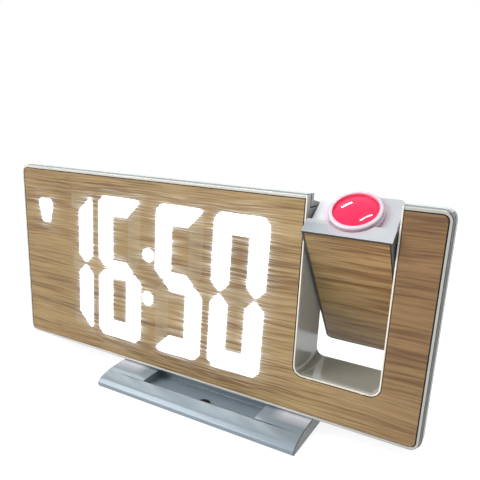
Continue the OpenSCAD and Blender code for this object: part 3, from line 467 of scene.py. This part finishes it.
# Unlit cells show through the film as faint pale shapes
cell = add(tree, "Attribute", attribute_name="cell_mm")
ghost = add(tree, "MapRange", {"Value": cell.outputs["Fac"], "From Min": 0.0, "From Max": 0.7,
                               "To Max": 0.2})
pale = add(tree, "MixRGB", {0: ghost.outputs[0], 1: wood, 2: colour("#B4AE96")})
# A narrow glow hugs each lit window, and a wide faint one runs out along the fine lines
away = add(tree, "Attribute", attribute_name="glow_mm")
reach = add(tree, "MapRange", {"Value": fine, "From Min": 0.4, "From Max": 0.66, "To Min": 0.12,
                               "To Max": 0.4})
near = add(tree, "Math", {0: away.outputs["Fac"], 1: reach.outputs[0]}, operation="DIVIDE")
near = add(tree, "Math", {0: math.exp(-1), 1: near.outputs[0]}, operation="POWER")
wide = add(tree, "Math", {0: away.outputs["Fac"], 1: 2.4}, operation="DIVIDE")
wide = add(tree, "Math", {0: math.exp(-1), 1: wide.outputs[0]}, operation="POWER")
line = add(tree, "MapRange", {"Value": fine, "From Min": 0.5, "From Max": 0.64, "To Min": 0.03,
                              "To Max": 0.3})
wide = add(tree, "Math", {0: wide.outputs[0], 1: line.outputs[0]}, operation="MULTIPLY")
glow = add(tree, "Math", {0: near.outputs[0], 1: 1.1, 2: wide.outputs[0]},
           operation="MULTIPLY_ADD")
pale = add(tree, "MixRGB", {0: glow.outputs[0], 1: pale.outputs[0], 2: colour("#E6EAEE")},
           use_clamp=True)
tree.links.new(pale.outputs[0], shader.inputs["Base Color"])
shader.inputs["Emission Color"].default_value = colour("#EEF6FF")
tree.links.new(glow.outputs[0], shader.inputs["Emission Strength"])
# The sheet's edges are dark, and they also stand in as painted shade in the seam round the sheet
seam_shade_edge = finish("dark_edge_with_painted_seam_shade", "#2E2517", 0.55, grain=0.5)
sheet.data.materials.append(sheet_film)
sheet.data.materials.append(seam_shade_edge)
# The windows' own edges stay lit
lit_mm = 2.0
for face in sheet.data.polygons:
    far = min(glow_mm.data[k].value for k in face.vertices) > lit_mm
    face.material_index = int(far and face.normal.y > -0.95)
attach(sheet, "body")

# ---- Electronics
# The main board with its chips, buzzer and back-up cell in a spring clip, on brass
# spacers behind the display board. All of it is closed in by the housing.

# Black epoxy is dull. Turned, plated and rolled metals gleam over a fine tooling grain,
# and black ABS has a satin skin
package = finish("moulded_epoxy_package", "#1B1B1E", 0.5, grain=0.3)
brass = finish("turned_brass", "#C9A052", 0.28, metal=1.0, grain=0.2)
nickel = finish("nickel_plated_steel", "#C3C5C6", 0.22, metal=1.0, grain=0.2, shift=0.03)
bronze = finish("phosphor_bronze_strip", "#B98A58", 0.3, metal=1.0, grain=0.2)
black_abs = finish("black_abs", "#19191B", 0.42, grain=0.4)
refinish(board_pillars=brass, board_chips=package, cell_clip=bronze, button_switches=package)
cell = rounded("coin_cell", "lithium_cell", 0.25, nickel)
buzzer = rounded("buzzer", "piezo_buzzer", 0.25, black_abs)
for piece, slot in ((cell, "cell_steel"), (buzzer, "chip_black")):
    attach(piece, "body")

# ---- Sockets
# Two sockets soldered to the main board's left end: one in bent nickel-plated steel with
# a black tongue gives power out, and a moulded one with a centre pin takes it in.
outlet = rounded("usb_output", "power_output_socket", 0.12, nickel, black_abs)
low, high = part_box("usb_output")
wall = 0.0008
for face in outlet.data.polygons:
    _, y, z = face.center
    inside = low.y + wall < y < high.y - wall and low.z + wall < z < high.z - wall
    face.material_index = int(inside)
inlet = rounded("power_inlet", "power_inlet_socket", 0.15, black_abs, nickel)
low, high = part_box("power_inlet")
pin_radius = 0.0011
for face in inlet.data.polygons:
    _, y, z = face.center - (low + high) / 2
    face.material_index = int(math.hypot(y, z) < pin_radius)
for piece, slot in ((outlet, "cell_steel"), (inlet, "chip_black")):
    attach(piece, "body")

# ---- Rear keys
# Five round keys moulded in white ABS, each on its own switch, with a dished top and a
# softened rim where the finger meets it.

# White ABS from a polished mould: an even off-white with a soft highlight
key_plastic = finish("white_abs_key", "#DCDCDA", 0.32, grain=0.5)
for name in ("mode", "alarm", "up", "down", "lamp"):
    key = rounded(name + "_button", name + "_key_cap", 0.3, key_plastic)
    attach(key, name + "_key")

# ---- Cell door
# A small sliding door in the housing's own silver paint, held by two lips in grooves,
# with three ribs for the thumb.
door = rounded("battery_door", "cell_cover", 0.12, silver_paint)
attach(door, "cell_door")

# ---- Case screws
# Five self-tapping screws with cross slots, sunk into the back. Their zinc plate is a
# mottled grey, duller than nickel.
zinc = finish("zinc_plated_steel", "#8D9194", 0.3, metal=1.0, grain=0.15, shift=0.08)
screws = rounded("case_screws", "housing_screws", 0.12, zinc)
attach(screws, "body")

# ---- Stand
# A low foot moulded in ABS with silver paint, open below, with a tray in front of the
# body. A steel plate weights it and a thin pad keeps it from sliding.

# A coat bluer than the housing's and a little metallic, darkened on the ends as painted shade
stand_paint = finish("satin_silver_paint_on_stand", "#828E96", 0.22, metal=0.15, grain=0.25)
stand_end_shade_paint = finish("stand_paint_with_painted_shade_on_ends", "#555D62", 0.25, grain=0.25)
foot_edge = 0.3
foot = rounded("stand_shell", "stand_foot", foot_edge, stand_paint, stand_end_shade_paint)
slice_up(foot, "stand_shell", (0,), 2.0)
low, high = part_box("stand_shell")
for face in foot.data.polygons:
    on_end = min(face.center.x - low.x, high.x - face.center.x) < foot_edge / 1000
    face.material_index = int(on_end)
# Painted reflections make the top pale near both ends, where it meets the body
tree = stand_paint.node_tree
place = add(tree, "TexCoord").outputs["Object"]
spot = add(tree, "SeparateXYZ", {0: place}).outputs
off = add(tree, "Math", {0: spot["X"], 1: (low.x + high.x) / 2}, operation="SUBTRACT")
off = add(tree, "Math", {0: off.outputs[0]}, operation="ABSOLUTE")
end = add(tree, "MapRange", {"Value": off.outputs[0], "From Min": 0.031, "From Max": 0.036})
back = add(tree, "MapRange", {"Value": spot["Y"], "From Min": -0.007, "From Max": -0.001,
                              "To Max": 0.85})
painted_sheen = add(tree, "Math", {0: end.outputs[0], 1: back.outputs[0]}, operation="MULTIPLY")
tinted(stand_paint, painted_sheen.outputs[0], "#DADBE2")
# The top is shaded as one soft curve, level by the body and steepest in front
steepest = math.radians(20)
curve_reach = 0.0148
lowest_top = 0.003
normals = [loop.normal.copy() for loop in foot.data.loops]
for face in foot.data.polygons:
    if face.normal.z > 0.93 and face.center.z > lowest_top and face.center.y < 0:
        for k in face.loop_indices:
            y = foot.data.vertices[foot.data.loops[k].vertex_index].co.y
            slope = steepest * min(1, max(0, -y / curve_reach))
            normals[k] = Vector((0, -math.sin(slope), math.cos(slope)))
foot.data.normals_split_custom_set([tuple(normal) for normal in normals])
# Rolled steel is a satin grey, foam is matt with coarse pores, and black oxide is a
# near-black skin with a low sheen
rolled_steel = finish("cold_rolled_steel", "#7F8284", 0.36, metal=1.0, grain=0.3)
foam = finish("eva_foam_sheet", "#1D1D1E", 0.85, grain=0.8, relief=0.05)
black_steel = finish("black_oxide_steel", "#0E0E10", 0.4, metal=0.6, grain=0.2)
plate = rounded("stand_plate", "weight_plate", 0.15, rolled_steel)
pad = rounded("stand_pad", "grip_pad", 0.12, foam)
foot_screws = rounded("stand_screws", "stand_fixings", 0.12, zinc)
tray_screw = rounded("tray_screw", "tray_fixing", 0.2, black_steel)
for piece, slot in ((foot, "stand_silver"), (plate, "plate_steel"), (pad, "pad_rubber"),
                    (foot_screws, "screw_steel"), (tray_screw, "screw_black")):
    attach(piece, "body")

# ---- Projector arm
# Two shells moulded in glossy white ABS, screwed together from behind, with a strip of
# the same oak film let into the front.
focusing = next(joint for joint in frame["joints"] if joint["name"] == "focus_turn")
lens_axis = Vector(focusing["axis"])
backward = lens_axis.cross(Vector((1, 0, 0)))
# The lens's dome is part of a sphere, whose centre is on the axis, below the ring
dome_depth = 0.0113
dome_centre = Vector(focusing["pos_m"]) - dome_depth * lens_axis


def paint_lens_light(material, inner, outer, share, tint):
    """Mixes a tint into a material round the lens's axis, less and less from inner to outer mm off
    it: the lens's light painted on, and painted shade where the tint is darker."""
    tree = material.node_tree
    place = add(tree, "TexCoord").outputs["Object"]
    off = add(tree, "VectorMath", {0: place, 1: dome_centre}, operation="SUBTRACT")
    off = add(tree, "VectorMath", {0: off.outputs[0], 1: lens_axis}, operation="CROSS_PRODUCT")
    off = add(tree, "VectorMath", {0: off.outputs[0]}, operation="LENGTH")
    near = add(tree, "MapRange", {"Value": off.outputs["Value"], "From Min": outer / 1000,
                                  "From Max": inner / 1000, "To Max": share})
    tinted(material, near.outputs[0], tint)


# Glossy ABS: a cool clean white with clear reflections
gloss_white = finish("glossy_white_abs", "#C4C5C7", 0.2, grain=0.5, shift=0.02, relief=0.004)
# The top has painted light and shade: painted shade greys its front left corner, a painted highlight
# whitens its back left, and round the ring it takes the lens's pink as painted light and shade
top_white_with_painted_light = finish("white_abs_with_painted_light_and_shade", "#B4B5B6", 0.2, grain=0.5, shift=0.02, relief=0.004)
tree = top_white_with_painted_light.node_tree
colour_in = shader_of(top_white_with_painted_light).inputs["Base Color"]
paint = colour_in.links[0].from_socket
place = add(tree, "TexCoord").outputs["Object"]
spot = add(tree, "SeparateXYZ", {0: place}).outputs
depth = add(tree, "VectorMath", {0: place, 1: backward}, operation="DOT_PRODUCT")
back = add(tree, "MapRange", {"Value": depth.outputs["Value"], "From Min": 0.0475,
                              "From Max": 0.0535})
corner = add(tree, "MapRange", {"Value": spot["X"], "From Min": 0.066, "From Max": 0.05})
front_tone = add(tree, "MixRGB", {0: corner.outputs[0], 1: paint, 2: colour("#94989B")})
left = add(tree, "MapRange", {"Value": spot["X"], "From Min": 0.075, "From Max": 0.055})
back_tone = add(tree, "MixRGB", {0: left.outputs[0], 1: paint, 2: colour("#DCDCDE")})
tone = add(tree, "MixRGB", {0: back.outputs[0], 1: front_tone.outputs[0], 2: back_tone.outputs[0]})
tree.links.new(tone.outputs[0], colour_in)
paint_lens_light(top_white_with_painted_light, 9.5, 12.5, 0.6, "#CFA0AC")
# The front shell's flanks and border are painted dark as painted shade, for the shade in the narrow
# gap beside them
flank_shade_paint = finish("silver_paint_with_painted_shade_on_flanks", "#4E4F4B", 0.3, grain=0.25)
arm_finishes = (gloss_white, top_white_with_painted_light, flank_shade_paint)
GLOSS, ARM_TOP_PAINTED, FLANK_SHADE = range(3)
arm_front = rounded("arm_front_shell", "arm_front", 0.25, *arm_finishes)
arm_back = rounded("arm_rear_shell", "arm_back", 0.25, *arm_finishes)
for piece in (arm_front, arm_back):
    for face in piece.data.polygons:
        flank_or_border = abs(face.normal.x) > 0.7 or face.normal.dot(-backward) > 0.9
        if face.normal.dot(lens_axis) > 0.95:
            face.material_index = ARM_TOP_PAINTED
        elif piece == arm_front and flank_or_border:
            face.material_index = FLANK_SHADE
        else:
            face.material_index = GLOSS
# The strip is cut from another stretch of the film, and is redder to the right
arm_film, _, _ = oak_film("oak_film_on_arm", (41, 0, 27), (1.22, 1.0, 0.86, 1))
# The strip's edges take the same painted seam shade
arm_strip = rounded("arm_panel", "arm_wood_face", 0.12, arm_film, seam_shade_edge, steps=2)
for face in arm_strip.data.polygons:
    face.material_index = int(face.normal.dot(-backward) < 0.95)
arm_fixings = rounded("arm_screws", "arm_fixings", 0.12, zinc)
for piece, slot in ((arm_front, "arm_white"), (arm_back, "arm_white"), (arm_strip, "panel_wood"),
                    (arm_fixings, "screw_steel")):
    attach(piece, "arm")

# ---- Pivots
# Acetal bushes pressed into the tunnel's walls, and two acetal pivots with spring clips
# and bronze washers. The left pivot is hollow and carries the wires into the arm.

# Acetal is milky with a waxy shine, spring steel is blued dark, and PVC is a plain red
acetal = finish("natural_acetal", "#E4E2D8", 0.36, grain=0.6)
spring_steel = finish("blued_spring_steel", "#55585C", 0.3, metal=1.0, grain=0.15)
insulation = finish("pvc_wire_insulation", "#A82020", 0.45, grain=0.5)
refinish(pivot_barrel=acetal, pivot_pin=acetal, pivot_clips=spring_steel,
         spring_washers=bronze, feed_wires=insulation, arm_wires=insulation)
bushes = rounded("pivot_bushes", "pivot_bearings", 0.12, acetal)
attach(bushes, "body")

# ---- Projector inside the arm
# A red lamp on its board, a condenser, and a small liquid-crystal cell that shows the
# time, all in a black carrier. None of it shows while the arm is shut.

# Clear acrylic lets nearly all light through, and the lamp's epoxy is a deep red
clear = finish("clear_acrylic", "#E8F2F4", 0.08, grain=0.8, shift=0.01, relief=0.001)
shader_of(clear).inputs["Transmission Weight"].default_value = 0.9
lamp_epoxy = finish("red_lamp_epoxy", "#C81A1E", 0.15, grain=0.4)
refinish(optics_carrier=black_abs, lamp_board=solder_mask, lamp_led=lamp_epoxy,
         condenser_lens=clear, image_cell=package)

# ---- Objective
# A fixed tube carries a frosted white focus ring. The lens is a pink-lit acrylic dome on
# a black sleeve that slides as the ring turns.

# The tube's white ABS looks a little violet beside the pink lens
tube_plastic = finish("white_abs_tube", "#DEDADF", 0.35, grain=0.5)
tube = rounded("lens_tube", "objective_tube", 0.15, tube_plastic)
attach(tube, "arm")
sleeve = rounded("lens_cell", "lens_sleeve", 0.12, black_abs)
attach(sleeve, "objective")
# Frosted plastic lets a little light in, and its inner edge has the lens's pink light painted on
frosted = finish("frosted_polycarbonate", "#DBCAD0", 0.25, grain=0.6, shift=0.03)
shader_of(frosted).inputs["Subsurface Weight"].default_value = 0.3
shader_of(frosted).inputs["Subsurface Scale"].default_value = 0.002
paint_lens_light(frosted, 8.0, 8.8, 0.65, "#FF7A9A")
ring = rounded("focus_ring", "focus_grip_ring", 0.15, frosted, steps=2)
# The rounding adds nothing to the ring's height
_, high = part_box("focus_ring")
for vertex in ring.data.vertices:
    vertex.co.z = min(vertex.co.z, high.z)
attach(ring, "focus")
# Clear acrylic lit from behind in pink, polished to a sharp gloss
pink = finish("pink_lit_acrylic_lens", "#DE1748", 0.06, grain=2.0, shift=0.02, relief=0.0)
for name, value in (("Emission Color", colour("#FF2858")), ("Emission Strength", 0.2),
                    ("Specular IOR Level", 0.2), ("Coat Weight", 0.4), ("Coat Roughness", 0.06)):
    shader_of(pink).inputs[name].default_value = value
dome = rounded("projection_lens", "objective_lens", 0.2, pink)
# The dome is shaded as a true sphere
dome_radius, tolerance = 0.02595, 0.00003
normals = []
for vertex in dome.data.vertices:
    outward = vertex.co - dome_centre
    on_dome = abs(outward.length - dome_radius) < tolerance
    normals.append(tuple(outward.normalized() if on_dome else vertex.normal))
dome.data.normals_split_custom_set_from_vertices(normals)
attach(dome, "objective")
